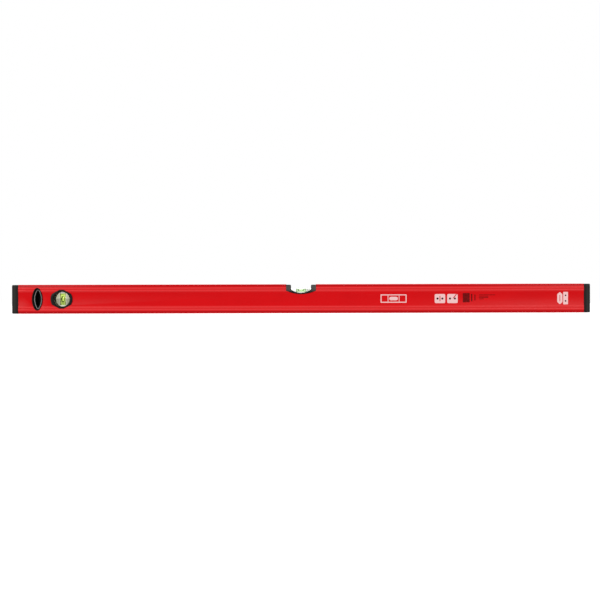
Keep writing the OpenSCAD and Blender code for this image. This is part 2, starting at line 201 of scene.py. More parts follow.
class Surface(Nodes):
    """One material under construction."""

    def __init__(self, name: str) -> None:
        """Starts an empty material.

        Args:
            name: The material's name.
        """
        self.material = bpy.data.materials.new(name)
        self.material.use_nodes = True
        super().__init__(self.material.node_tree)
        self.place = self.add("ShaderNodeTexCoord", {}, {}, "Object")

    def axes(self) -> tuple[Wire, Wire, Wire]:
        """The point's X, Y and Z, in metres."""
        x = self.add("ShaderNodeSeparateXYZ", {}, {0: self.place}, "X")
        return x, x.other("Y"), x.other("Z")

    def noise(self, scale: float, detail: float = 3.0, stretch: tuple[float, float, float] = (1, 1, 1)) -> Wire:
        """Noise between 0 and 1.

        Args:
            scale: Features in a metre.
            detail: How many finer layers it has.
            stretch: How much denser it is along each axis.

        Returns:
            The noise.
        """
        mapped = self.add("ShaderNodeMapping", {}, {"Vector": self.place, "Scale": stretch})
        return self.add(
            "ShaderNodeTexNoise", {},
            {"Vector": mapped, "Scale": scale, "Detail": detail, "Roughness": NOISE_ROUGHNESS},
        )

    def blend(self, factor: Number, low: Union[Colour, Wire], high: Union[Colour, Wire]) -> Wire:
        """Mixes two colours.

        Args:
            factor: 0 for the first colour and 1 for the second.
            low: The first colour.
            high: The second colour.

        Returns:
            The mixed colour.
        """
        return self.add(
            "ShaderNodeMix", {"data_type": "RGBA"}, {MIX_FACTOR: factor, MIX_LOW: low, MIX_HIGH: high}, MIX_RESULT,
        )

    def relief(self, height: Wire, depth: float, strength: float) -> Wire:
        """Turns a height into a normal.

        Args:
            height: The height, between 0 and 1.
            depth: What a height of 1 is, in metres.
            strength: How much of the relief shows.

        Returns:
            The normal.
        """
        return self.add(
            "ShaderNodeBump", {}, {"Height": height, "Distance": depth, "Strength": strength}, "Normal",
        )

    def finish(self, tint: Colour = (1.0, 1.0, 1.0), density: float = 0.0, **inputs: object) -> bpy.types.Material:
        """Adds the shader and the output.

        Args:
            tint: The colour that passes best through the inside.
            density: How strongly the inside absorbs the rest, in 1/m. 0 leaves the inside out.
            inputs: The shader's inputs, named with underscores for spaces.

        Returns:
            The material.
        """
        named = {name.replace("_", " "): value for name, value in inputs.items()}
        ends = {"Surface": self.add("ShaderNodeBsdfPrincipled", {}, named)}
        if density > 0:
            ends["Volume"] = self.add("ShaderNodeVolumeAbsorption", {}, {"Color": tint, "Density": density})
        self.add("ShaderNodeOutputMaterial", {}, ends)
        return self.material


# ---- Finishes ----


@dataclass(frozen=True)
class PowderCoat:
    """Gloss powder coat over the extrusion, with painted highlights along the crests of its ribs and over the lands
    between them, and painted shade along its top and bottom edges.
    """

    colour: Colour = (0.68, 0.0006, 0.0030)
    shade: Colour = (0.57, 0.0005, 0.0026)
    # Painted highlight: the lighter red along the crests of the ribs.
    painted_crest_highlight: Colour = (0.81, 0.040, 0.044)
    # Painted highlight: a lighter sheen over the lands between the ribs.
    painted_land_sheen: Colour = (0.76, 0.028, 0.030)
    # Painted shade: the darker red along the top and bottom edges of the sides.
    edge: Colour = (0.24, 0.005, 0.006)
    scuff: Colour = (0.85, 0.16, 0.15)
    shade_share: float = 0.35
    edge_shade_share: float = 0.85
    painted_land_sheen_share: float = 0.6
    painted_crest_highlight_share: float = 0.85
    scuff_share: float = 0.10
    painted_crest_highlight_reach: tuple[float, float] = (1.3, 0.2)   # where the painted highlight along the rib crests starts and is full, in rib half widths
    side_reach: tuple[float, float] = (0.4 * MM, 0.1 * MM)
    edge_shade_reach: tuple[float, float] = (5.0 * MM, 1.0 * MM)
    land_sheen_foot: tuple[float, float] = (3.6 * MM, 5.4 * MM)
    land_sheen_fade: float = 0.9 * MM
    roughness: float = 0.28
    peel: float = 0.012 * MM

    def build(self, profile: "BoxProfile") -> bpy.types.Material:
        """Makes the material.

        Args:
            profile: The profile, for where its ribs and lands lie.

        Returns:
            The material.
        """
        s = Surface("powder_red")
        _, y, z = s.axes()
        from_edge = z.least(profile.height - z)
        # Masks for the painted highlight along the crests of the two ribs.
        start, full = (profile.rib_half_width * reach for reach in self.painted_crest_highlight_reach)
        near, far = (abs(from_edge - rib).ramp(start, full) for rib in profile.rib_heights)
        on_side = abs(y).ramp(*(profile.field_y - reach for reach in self.side_reach))
        # Mask for the painted sheen over the lands.
        lands = from_edge.ramp(profile.land_end + self.land_sheen_fade, profile.land_end - self.land_sheen_fade)
        lands = lands * from_edge.ramp(*self.land_sheen_foot) * on_side
        # Mask for the painted shade along the top and bottom edges.
        edges = from_edge.ramp(*self.edge_shade_reach) * on_side
        scuffs = s.noise(900.0, 2.0, (0.02, 1, 1)).ramp(0.66, 0.78) * s.noise(14.0, 2.0).ramp(0.45, 0.7)
        cloud = s.noise(60.0, 4.0, (0.35, 1, 1)).ramp(0.3, 0.75)
        base = s.blend(cloud * self.shade_share, self.colour, self.shade)
        # Painted shade along the top and bottom edges.
        base = s.blend(edges * self.edge_shade_share, base, self.edge)
        # Painted highlight: the sheen over the lands.
        base = s.blend(lands * self.painted_land_sheen_share, base, self.painted_land_sheen)
        # Painted highlight along the rib crests.
        base = s.blend(near.most(far) * on_side * self.painted_crest_highlight_share, base, self.painted_crest_highlight)
        return s.finish(
            Base_Color=s.blend(scuffs * self.scuff_share, base, self.scuff),
            Roughness=self.roughness + s.noise(220.0, 3.0) * 0.08 + scuffs * 0.14,
            Specular_IOR_Level=0.14,
            Normal=s.relief(s.noise(1500.0, 2.0) + scuffs * 0.5, self.peel, 0.5),
        )


@dataclass(frozen=True)
class MouldedPlastic:
    """Moulded plastic with a fine spark-eroded grain."""

    name: str
    colour: Colour
    light: Colour
    roughness: float
    grain: float = 2600.0
    specular: float = 0.30
    # Painted light: an emission that makes the plastic look lit, though it is no lamp.
    painted_glow: float = 0.0
    cloud_share: float = 0.6
    grain_share: float = 0.2
    grain_depth: float = 0.02 * MM

    def base(self, s: Surface, grain: Wire, cloud: Wire) -> Wire:
        """Mixes the colour from the grain and a slow cloud."""
        return s.blend(cloud * self.cloud_share + grain * self.grain_share, self.colour, self.light)

    def build(self) -> bpy.types.Material:
        """Makes the material.

        Returns:
            The material.
        """
        s = Surface(self.name)
        cloud = s.noise(95.0, 4.0).ramp(0.35, 0.8)
        grain = s.noise(self.grain, 2.0)
        base = self.base(s, grain, cloud)
        painted_glow = {"Emission_Color": base, "Emission_Strength": self.painted_glow} if self.painted_glow else {}
        return s.finish(
            Base_Color=base,
            Roughness=self.roughness + grain * 0.12 - cloud * 0.05,
            Specular_IOR_Level=self.specular,
            Normal=s.relief(grain, self.grain_depth, 0.6),
            **painted_glow,
        )


@dataclass(frozen=True)
class LiningPlastic(MouldedPlastic):
    """The same plastic, with painted shade in the depth of the hang slot."""

    # Painted shade for the inside of the slot.
    painted_deep_shade: Colour = (0.0012, 0.0012, 0.0012)
    mouth_y: float = 6.2 * MM
    depth_y: float = 5.4 * MM

    def base(self, s: Surface, grain: Wire, cloud: Wire) -> Wire:
        """Paints shade: darkens the colour from the foot of the mouth inwards."""
        _, y, _ = s.axes()
        return s.blend(abs(y).ramp(self.mouth_y, self.depth_y), super().base(s, grain, cloud), self.painted_deep_shade)


@dataclass(frozen=True)
class WindowPlastic(MouldedPlastic):
    """The same plastic, lighter grey on the outer faces of the window's two cheeks."""

    lighter_cheeks: Colour = (0.088, 0.086, 0.080)
    face_y: float = 10.86 * MM
    flare_y: float = 10.5 * MM
    cheek_foot: float = 36.0 * MM
    cheek_head: float = 41.0 * MM
    brow_foot: float = 47.6 * MM
    brow_head: float = 49.2 * MM

    def base(self, s: Surface, grain: Wire, cloud: Wire) -> Wire:
        """Lightens the colour on the cheeks.

        Args:
            s: The material.
            grain: The plastic's grain.
            cloud: Its slow cloud.

        Returns:
            The colour.
        """
        _, y, z = s.axes()
        lighter_cheeks = abs(y).ramp(self.flare_y, self.face_y) * z.ramp(self.cheek_foot, self.cheek_head)
        lighter_cheeks = lighter_cheeks * z.ramp(self.brow_head, self.brow_foot) * (0.75 + cloud * 0.25)
        return s.blend(lighter_cheeks, super().base(s, grain, cloud), self.lighter_cheeks)


@dataclass(frozen=True)
class BumperRubber:
    """Soft charcoal rubber, paler where it is scuffed."""

    colour: Colour = (0.0200, 0.0160, 0.0142)
    scuffed: Colour = (0.046, 0.039, 0.035)
    band: Colour = (0.030, 0.027, 0.024)
    band_middle: float = 4.6 * MM
    band_reach: tuple[float, float] = (3.0 * MM, 0.8 * MM)
    end_reach: float = 1.6 * MM
    grain_depth: float = 0.03 * MM

    def build(self, end_x: float) -> bpy.types.Material:
        """Makes the material.

        Args:
            end_x: How far each end lies from the middle of the level.

        Returns:
            The material.
        """
        s = Surface("bumper_rubber")
        x, _, _ = s.axes()
        inward = end_x - abs(x)
        band = abs(inward - self.band_middle).ramp(*self.band_reach)
        dust = s.noise(420.0, 4.0).ramp(0.52, 0.8)
        grain = s.noise(3200.0, 2.0)
        worn = dust * 0.35 + inward.ramp(self.end_reach, 0.0) * 0.1
        return s.finish(
            Base_Color=s.blend(worn, s.blend(band * 0.8, self.colour, self.band), self.scuffed),
            Roughness=0.62 + grain * 0.16,
            Specular_IOR_Level=0.25,
            Normal=s.relief(grain + dust * 0.4, self.grain_depth, 0.7),
        )


@dataclass(frozen=True)
class ClearAcrylic:
    """Cast acrylic: polished, a little scratched, and faintly tinted all through, with painted shade round a bore
    where a colour for it is given.
    """

    name: str
    tint: Colour
    density: float
    clear: Colour = (0.985, 0.99, 0.975)
    worn: Colour = (0.93, 0.945, 0.91)
    painted_shade: Optional[Colour] = None
    painted_shade_reach: tuple[float, float] = (0.95, 1.15)   # where the painted shade starts and is full, in bore radii

    def build(self, bore_x: float = 0.0, bore_radius: float = 0.0) -> bpy.types.Material:
        """Makes the material.

        Args:
            bore_x: Where an upright bore stands along the level.
            bore_radius: That bore's radius. Further out, the surface takes the painted shade colour, if there is one.

        Returns:
            The material.
        """
        s = Surface(self.name)
        wear = s.noise(700.0, 3.0).ramp(0.5, 0.8)
        base = s.blend(wear * 0.4, self.clear, self.worn)
        if self.painted_shade:
            x, _, _ = s.axes()
            start, full = (bore_radius * reach for reach in self.painted_shade_reach)
            # Painted shade: darker to either side of the bore.
            base = s.blend(abs(x - bore_x).ramp(start, full), base, self.painted_shade)
        return s.finish(
            self.tint, self.density, Base_Color=base, Roughness=wear * 0.02, Transmission_Weight=1.0,
            IOR=ACRYLIC_INDEX,
        )


@dataclass(frozen=True)
class DyedSpirit:
    """The vial's yellow-green liquid. Its index is the one that light meets on its way in from the acrylic."""

    name: str
    tint: Colour
    density: float
    thin: Colour = (0.98, 1.0, 0.94)
    rich: Colour = (0.95, 0.98, 0.88)

    def build(self) -> bpy.types.Material:
        """Makes the material.

        Returns:
            The material.
        """
        s = Surface(self.name)
        swirl = s.noise(180.0, 2.0)
        return s.finish(
            self.tint, self.density, Base_Color=s.blend(swirl, self.thin, self.rich),
            Roughness=swirl * 0.01, Transmission_Weight=1.0, IOR=SPIRIT_INDEX / ACRYLIC_INDEX,
        )


@dataclass(frozen=True)
class BubbleAir:
    """Air in the spirit: clear, with painted shade darkening its outline where its wall curves away."""

    clear: Colour = (1.0, 1.0, 0.93)
    # Painted shade for the bubble's outline.
    painted_rim: Colour = (0.42, 0.52, 0.16)

    def build(self) -> bpy.types.Material:
        """Makes the material.

        Returns:
            The material.
        """
        s = Surface("air_bubble")
        facing = s.add("ShaderNodeLayerWeight", {}, {"Blend": 0.35}, "Facing")
        return s.finish(
            # Painted shade: darker where the wall turns edge-on.
            Base_Color=s.blend(facing.ramp(0.45, 0.95), self.clear, self.painted_rim),
            Roughness=s.noise(260.0, 1.0) * 0.01, Transmission_Weight=1.0, IOR=1.0 / SPIRIT_INDEX,
        )


@dataclass(frozen=True)
class Ink:
    """A printed or etched mark, with the small breaks that a print on metal has."""

    name: str
    colour: Colour
    faded: Colour
    bite: float = 0.006 * MM

    def build(self) -> bpy.types.Material:
        """Makes the material.

        Returns:
            The material.
        """
        s = Surface(self.name)
        specks = s.noise(1800.0, 2.0).ramp(0.55, 0.85)
        return s.finish(
            Base_Color=s.blend(specks * 0.6 + s.noise(160.0) * 0.2, self.colour, self.faded),
            Roughness=0.42 + specks * 0.1,
            Specular_IOR_Level=0.15,
            Normal=s.relief(specks, self.bite, 0.5),
        )


# ---- Meshes ----


class Form:
    """A mesh under construction that ends as one object at the origin."""

    def __init__(self) -> None:
        """Starts empty."""
        self.mesh = bmesh.new()

    def copy(self, node: str) -> "Form":
        """Takes in a CAD node's shape, with its loose triangles joined into whole faces.

        Args:
            node: The node.

        Returns:
            This form.
        """
        self.mesh.from_mesh(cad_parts[node].data)
        bmesh.ops.remove_doubles(self.mesh, verts=self.mesh.verts, dist=COPY_WELD)
        bmesh.ops.dissolve_limit(
            self.mesh, angle_limit=math.radians(FLAT_ANGLE), verts=self.mesh.verts, edges=self.mesh.edges,
        )
        return self

    def soften(self, width: float, sharper_than: float = 30.0, segments: int = 2) -> "Form":
        """Rounds the outer edges that are sharp.

        Args:
            width: How much each edge is rounded.
            sharper_than: The least angle, in degrees, that counts as sharp.
            segments: Faces across each rounding.

        Returns:
            This form.
        """
        limit = math.radians(sharper_than)
        edges = [e for e in self.mesh.edges if e.is_manifold and e.is_convex and e.calc_face_angle() > limit]
        return self.round_edges(edges, width, segments)

    def block(self, low: Vector, high: Vector, edge: float) -> "Form":
        """Adds a block.

        Args:
            low: Its lowest corner.
            high: Its highest corner.
            edge: How much its edges are rounded.

        Returns:
            This form.
        """
        place = Matrix.Translation((low + high) / 2) @ Matrix.Diagonal((*(high - low), 1.0))
        made = bmesh.ops.create_cube(self.mesh, size=1.0, matrix=place)
        return self.round_edges({e for v in made["verts"] for e in v.link_edges}, edge, ROUND_STEPS)

    def rod(self, centre: Vector, axis: Axis, radius: float, length: float, edge: float) -> "Form":
        """Adds a round bar.

        Args:
            centre: Its middle.
            axis: The row axis that it lies along.
            radius: Its radius.
            length: Its length.
            edge: How much its end edges are rounded.

        Returns:
            This form.
        """
        made = bmesh.ops.create_cone(
            self.mesh, cap_ends=True, cap_tris=False, segments=96, radius1=radius, radius2=radius, depth=length,
            matrix=Matrix.Translation(centre) @ axis.value,
        )
        ends = {e for v in made["verts"] for e in v.link_edges if any(len(f.verts) > 4 for f in e.link_faces)}
        return self.round_edges(ends, edge, ROUND_STEPS)

    def capsule(self, centre: Vector, axis: Axis, radius: float, length: float, flatten: float = 1.0) -> "Form":
        """Adds a bubble shape: a ball drawn out along an axis.

        Args:
            centre: Its middle.
            axis: The row axis that it lies along.
            radius: Its radius.
            length: Its whole length.
            flatten: Its height over its width.

        Returns:
            This form.
        """
        made = bmesh.ops.create_uvsphere(self.mesh, u_segments=64, v_segments=33, radius=radius)
        stretch = length / 2 - radius
        for vert in made["verts"]:
            vert.co.z += math.copysign(stretch, vert.co.z)
            vert.co.x *= flatten
        bmesh.ops.transform(self.mesh, matrix=Matrix.Translation(centre) @ axis.value, verts=made["verts"])
        return self

    def keyed_disc(
        self, centre: Vector, radius: float, depth: float, key_half: float, key_depth: float, edge: float,
    ) -> "Form":
        """Adds a disc that faces along Y, with a keyway across its lowest point.

        Args:
            centre: Its middle.
            radius: Its radius.
            depth: Its thickness.
            key_half: Half of the keyway's width.
            key_depth: How far the keyway cuts in.
            edge: How much its edges are rounded.

        Returns:
            This form.
        """
        made = bmesh.ops.create_circle(self.mesh, cap_ends=True, segments=144, radius=radius, matrix=Axis.Y.value)
        for vert in made["verts"]:
            if vert.co.z < 0 and abs(vert.co.x) < key_half:
                vert.co.z += key_depth
        extruded = bmesh.ops.extrude_face_region(self.mesh, geom=made["verts"][0].link_faces[:])
        moved = [item for item in extruded["geom"] if isinstance(item, bmesh.types.BMVert)]
        bmesh.ops.translate(self.mesh, vec=(0, depth, 0), verts=moved)
        bmesh.ops.translate(self.mesh, vec=centre - Vector((0, depth / 2, 0)), verts=self.mesh.verts)
        rims = {e for f in self.mesh.faces if len(f.verts) > 4 for e in f.edges}
        return self.round_edges(rims, edge, ROUND_STEPS)

    def oval_bead(self, centre: Vector, width: float, height: float, tip: float, radius: float) -> "Form":
        """Adds a round bead along an upright oval of two side arcs and two tip arcs.

        Args:
            centre: The oval's middle.
            width: Its width.
            height: Its height.
            tip: The radius of its tip arcs.
            radius: The bead's own radius.

        Returns:
            This form.
        """
        half_w, half_h = width / 2, height / 2
        offset = ((half_h - tip) ** 2 - (half_w - tip) ** 2) / (2 * (half_w - tip))
        lean = math.atan2(half_h - tip, offset)
        start = Matrix.Translation(centre + Vector((half_w, 0, 0)))
        made = bmesh.ops.create_circle(self.mesh, cap_ends=False, segments=16, radius=radius, matrix=start)
        ring = made["verts"] + list({e for v in made["verts"] for e in v.link_edges})
        right, left = Vector((-offset, 0, 0)), Vector((offset, 0, 0))
        top, foot = Vector((0, 0, half_h - tip)), Vector((0, 0, tip - half_h))
        arcs = ((right, lean, 12), (top, math.pi - 2 * lean, 16), (left, 2 * lean, 24),
                (foot, math.pi - 2 * lean, 16), (right, lean, 12))
        for pivot, angle, steps in arcs:
            ring = bmesh.ops.spin(
                self.mesh, geom=ring, cent=centre + pivot, axis=(0, -1, 0), angle=angle, steps=steps,
                use_merge=False, use_duplicate=False,
            )["geom_last"]
        bmesh.ops.remove_doubles(self.mesh, verts=self.mesh.verts, dist=BEAD_WELD)
        return self

    def panel(
        self, low: Vector, high: Vector, corner: float = 0.0, lean: float = 0.0, waist: float = 0.0,
    ) -> "Form":
        """Adds a flat panel that faces along Y.

        Args:
            low: Its lowest corner.
            high: Its highest corner.
            corner: How much its corners are rounded.
            lean: How far its head is shifted along X.
            waist: How far each side ends short of its head and foot, which then come to a point. 0 for square.

        Returns:
            This form.
        """
        size = high - low
        place = Matrix.Translation((low + high) / 2 - Vector((0, size.y / 2, 0)))
        place = place @ Matrix.Diagonal((size.x, 1.0, size.z, 1.0)) @ Axis.Y.value
        if waist > 0:
            made = bmesh.ops.create_circle(self.mesh, cap_ends=True, segments=6, radius=0.5, matrix=place)
            middle_x, middle_z = (low.x + high.x) / 2, (low.z + high.z) / 2
            for vert in made["verts"]:
                if abs(vert.co.x - middle_x) > 0.01 * size.x:
                    vert.co.x = middle_x + math.copysign(size.x / 2, vert.co.x - middle_x)
                    vert.co.z = middle_z + math.copysign(size.z / 2 - waist, vert.co.z - middle_z)
        else:
            made = bmesh.ops.create_grid(self.mesh, x_segments=1, y_segments=1, size=0.5, matrix=place)
            head = [vert for vert in made["verts"] if vert.co.z > (low.z + high.z) / 2]
            bmesh.ops.translate(self.mesh, vec=(lean, 0, 0), verts=head)
        face = made["verts"][0].link_faces[0]
        if corner > 0:
            made = bmesh.ops.bevel(
                self.mesh, geom=list(face.verts), offset=corner, offset_type="OFFSET", segments=6, profile=0.5,
                affect="VERTICES", material=-1, clamp_overlap=True,
            )
            face = max(made["verts"][0].link_faces, key=lambda each: len(each.verts))
        return self.thicken(face, size.y)

    def dot(self, centre: Vector, radius: float, depth: float) -> "Form":
        """Adds a flat round dot that faces along Y.

        Args:
            centre: The middle of its front.
            radius: Its radius.
            depth: Its thickness.

        Returns:
            This form.
        """
        made = bmesh.ops.create_circle(
            self.mesh, cap_ends=True, segments=28, radius=radius, matrix=Matrix.Translation(centre) @ Axis.Y.value,
        )
        return self.thicken(made["verts"][0].link_faces[0], depth)

    def thicken(self, face: bmesh.types.BMFace, depth: float) -> "Form":
        """Draws a face out along Y.

        Args:
            face: The face.
            depth: How far it is drawn.

        Returns:
            This form.
        """
        made = bmesh.ops.extrude_face_region(self.mesh, geom=[face])
        moved = [item for item in made["geom"] if isinstance(item, bmesh.types.BMVert)]
        bmesh.ops.translate(self.mesh, vec=(0, depth, 0), verts=moved)
        return self

    def round_edges(self, edges: Iterable, width: float, segments: int) -> "Form":
        """Rounds edges.

        Args:
            edges: The edges.
            width: How much each is rounded.
            segments: Faces across each rounding.

        Returns:
            This form.
        """
        bmesh.ops.bevel(
            self.mesh, geom=list(edges), offset=width, offset_type="OFFSET", segments=segments, profile=0.5,
            affect="EDGES", material=-1, clamp_overlap=False,
        )
        return self

    def finish(
        self, name: str, material: bpy.types.Material, slot: str, body: str = FRAME_BODY,
        stands_for: Sequence[str] = (), smooth_angle: float = 35.0,
    ) -> None:
        """Makes the object and settles its place in the frame.

        Args:
            name: The piece's name.
            material: Its finish.
            slot: The record's material slot that the finish belongs to. Not used.
            body: The CAD body that it rides on.
            stands_for: The CAD nodes that it replaces.
            smooth_angle: Edges sharper than this, in degrees, stay crisp.
        """
        bmesh.ops.remove_doubles(self.mesh, verts=self.mesh.verts, dist=LAST_WELD)
        bmesh.ops.recalc_face_normals(self.mesh, faces=self.mesh.faces)
        data = bpy.data.meshes.new(name)
        self.mesh.to_mesh(data)
        self.mesh.free()
        data.materials.append(material)
        for polygon in data.polygons:
            polygon.use_smooth = True
        data.set_sharp_from_angle(angle=math.radians(smooth_angle))
        piece = bpy.data.objects.new(name, data)
        bpy.context.scene.collection.objects.link(piece)
        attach(piece, body)
        if stands_for:
            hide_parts(*stands_for)
        log.info("%s: %d faces on %s", name, len(data.polygons), body)


def stand_in(
    node: str, ending: str, material: bpy.types.Material, slot: str, edge: float, sharper_than: float = 30.0,
) -> None:
    """Puts a softened copy of a CAD node in its place.

    Args:
        node: The node.
        ending: What the copy's name adds to the node's.
        material: Its finish.
        slot: The record's material slot that the finish belongs to.
        edge: How much its edges are rounded.
        sharper_than: The least angle, in degrees, of an edge that is rounded.
    """
    form = Form().copy(node).soften(edge, sharper_than)
    form.finish(f"{node}_{ending}", material, slot, stands_for=[node])


def dress(material: bpy.types.Material, *nodes: str) -> None:
    """Gives CAD nodes a finish, and reports each.

    Args:
        material: The finish.
        nodes: The nodes.
    """
    for node in nodes:
        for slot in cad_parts[node].material_slots:
            slot.material = material
        log.info("%s: dressed in %s", node, material.name)


def middle(node: str) -> Vector:
    """The middle of a CAD node's box."""
    low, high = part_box(node)
    return (low + high) / 2


def extent(node: str) -> Vector:
    """The size of a CAD node's box."""
    low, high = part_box(node)
    return high - low


# ---- Sub-assemblies ----


@dataclass
class BoxProfile:
    """The extruded profile."""

    rib_heights: tuple[float, float] = (6.5 * MM, 10.7 * MM)
    rib_half_width: float = 0.9 * MM
    land_end: float = 13.0 * MM
    rib_rise: float = 0.4 * MM
    field_recess: float = 0.4 * MM
    deburr: float = 0.15 * MM
    height: float = field(init=False)
    field_y: float = field(init=False)

    def __post_init__(self) -> None:
        """Reads the profile's size from the frame."""
        self.height = extent("box_profile").z
        self.field_y = extent("box_profile").y / 2 - self.rib_rise - self.field_recess

    def build(self) -> None:
        """Makes the coated profile, with its cut edges deburred."""
        coat = PowderCoat().build(self)
        stand_in("box_profile", "coated", coat, "powder_red", self.deburr, sharper_than=50.0)


@dataclass
class EndCaps:
    """The hard plugs and soft bumpers at both ends."""

    plastic: bpy.types.Material
    bumper_edge: float = 0.25 * MM

    def build(self) -> None:
        """Dresses the plugs and makes the bumpers."""
        rubber = BumperRubber().build(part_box("right_cap_bumper")[1].x)
        for side in ("left", "right"):
            dress(self.plastic, f"{side}_cap_plug")
            stand_in(
                f"{side}_cap_bumper", "rubber", rubber, "bumper_rubber", self.bumper_edge, sharper_than=50.0,
            )


@dataclass
class HangSlot:
    """The lining of the hang slot, with painted shade inside it, and a grey bead round the foot of its mouth that is
    a painted highlight.
    """

    plastic: LiningPlastic = LiningPlastic(
        "slot_black", colour=(0.0080, 0.0078, 0.0068), light=(0.0180, 0.0175, 0.0155), roughness=0.42,
        specular=0.14,
    )
    # A grey bead put where the foot of the mouth catches the light: a painted highlight.
    painted_highlight_bead: MouldedPlastic = MouldedPlastic(
        "rim_grey", colour=(0.40, 0.38, 0.37), light=(0.50, 0.48, 0.47), roughness=0.35, grain=1800.0,
    )
    edge: float = 0.18 * MM
    painted_highlight_bead_width: float = 12.1 * MM
    painted_highlight_bead_height: float = 32.5 * MM
    painted_highlight_bead_tip: float = 2.4 * MM
    painted_highlight_bead_radius: float = 0.55 * MM
    painted_highlight_bead_y: float = 6.1 * MM

    def build(self) -> None:
        """Makes both linings and both painted highlight beads."""
        lining, painted_rim = self.plastic.build(), self.painted_highlight_bead.build()
        for side, name in ((-1, "hang_slot_front_liner"), (1, "hang_slot_rear_liner")):
            stand_in(name, "moulding", lining, "housing_black", self.edge, sharper_than=40.0)
            centre = middle(name)
            centre.y = side * self.painted_highlight_bead_y
            # The painted highlight bead round the foot of the mouth.
            form = Form().oval_bead(centre, self.painted_highlight_bead_width, self.painted_highlight_bead_height, self.painted_highlight_bead_tip, self.painted_highlight_bead_radius)
            form.finish(f"{name}_lip", painted_rim, "rim_grey", smooth_angle=ALL_SMOOTH)


@dataclass
class Vial:
    """What both vials share: spirit in a bore, and a bubble that slides in it."""

    plastic: bpy.types.Material
    air: bpy.types.Material
    white: bpy.types.Material
    ink: bpy.types.Material
    glue: bpy.types.Material
    spirit_edge: float = 0.3 * MM

    def fill(self, name: str, axis: Axis, spirit: DyedSpirit) -> None:
        """Makes the spirit.

        Args:
            name: The CAD node that it replaces.
            axis: The bore's direction.
            spirit: Its finish.
        """
        size = extent(name)
        length, width = (size.x, size.y) if axis is Axis.X else (size.z, size.x)
        form = Form().rod(middle(name), axis, width / 2, length, self.spirit_edge)
        form.finish(f"{name}_fill", spirit.build(), "green_spirit", stands_for=[name])

    def float_bubble(self, name: str, axis: Axis, body: str, flatten: float = 1.0) -> None:
        """Makes the bubble.

        Args:
            name: The CAD node that it replaces.
            axis: The bore's direction.
            body: The body that slides.
            flatten: The bubble's height over its width.
        """
        size = extent(name)
        length = size.x if axis is Axis.X else size.z
        form = Form().capsule(middle(name), axis, size.y / 2, length, flatten)
        form.finish(
            f"{name}_shape", self.air, "air_bubble", body=body, stands_for=[name], smooth_angle=ALL_SMOOTH,
        )


@dataclass
class LevelVial(Vial):
    """The level vial in its housing."""

    housing: WindowPlastic = WindowPlastic(
        "window_black", colour=(0.010, 0.0085, 0.0060), light=(0.022, 0.018, 0.013), roughness=0.46,
    )
    acrylic: ClearAcrylic = ClearAcrylic("block_acrylic", tint=(0.90, 0.96, 0.86), density=16.0)
    spirit: DyedSpirit = DyedSpirit("level_green", tint=(0.27, 0.66, 0.08), density=170.0)
    housing_edge: float = 0.1 * MM
    block_gap: float = 0.05 * MM
    block_edge: float = 0.4 * MM
    bubble_flatten: float = 0.86

    def build(self) -> None:
        """Makes the housing, the block, the spirit and the bubble, and dresses what stays."""
        stand_in("level_housing", "moulding", self.housing.build(), "housing_black", self.housing_edge)
        low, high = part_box("level_vial_block")
        gap = Vector((self.block_gap,) * 3)
        form = Form().block(low + gap, high - gap, self.block_edge)
        form.finish(
            "level_vial_block_clear", self.acrylic.build(), "clear_acrylic", stands_for=["level_vial_block"],
        )
        self.fill("level_spirit", Axis.X, self.spirit)
        self.float_bubble("level_bubble", Axis.X, LEVEL_BUBBLE_BODY, self.bubble_flatten)
        dress(self.white, "level_reflector", "level_vial_plug")
        dress(self.ink, "level_marker_rings")
        dress(self.glue, "level_adhesive_beads")


@dataclass
class PlumbVial(Vial):
    """The plumb vial between its bezels."""

    # The puck's acrylic has painted shade round its bore.
    acrylic: ClearAcrylic = ClearAcrylic(
        "puck_acrylic", tint=(0.40, 0.385, 0.15), density=50.0, painted_shade=(0.50, 0.50, 0.41),
    )
    spirit: DyedSpirit = DyedSpirit("plumb_green", tint=(0.74, 0.92, 0.01), density=160.0)
    bezel_edge: float = 0.25 * MM
    puck_gap: float = 0.04 * MM
    puck_press: float = 0.15 * MM
    puck_edge: float = 0.5 * MM
    keyway_half: float = 0.9 * MM
    keyway_depth: float = 0.9 * MM

    def build(self) -> None:
        """Makes the bezels, the puck, the spirit and the bubble, and dresses what stays."""
        for name in ("plumb_front_bezel", "plumb_rear_bezel"):
            stand_in(name, "moulding", self.plastic, "housing_black", self.bezel_edge)
        size, bore, centre = extent("plumb_vial_puck"), extent("plumb_spirit"), middle("plumb_spirit")
        radius, depth = size.x / 2 + self.puck_press, size.y - 2 * self.puck_gap
        form = Form().keyed_disc(
            centre, radius, depth, self.keyway_half, self.keyway_depth, self.puck_edge,
        )
        clear = self.acrylic.build(centre.x, bore.x / 2)
        form.finish("plumb_vial_puck_clear", clear, "clear_acrylic", stands_for=["plumb_vial_puck"])
        self.fill("plumb_spirit", Axis.Z, self.spirit)
        self.float_bubble("plumb_bubble", Axis.Z, PLUMB_BUBBLE_BODY)
        dress(self.white, "plumb_vial_plug")
        dress(self.ink, "plumb_marker_rings")
        dress(self.glue, "plumb_adhesive_rings")


# ---- Prints ----


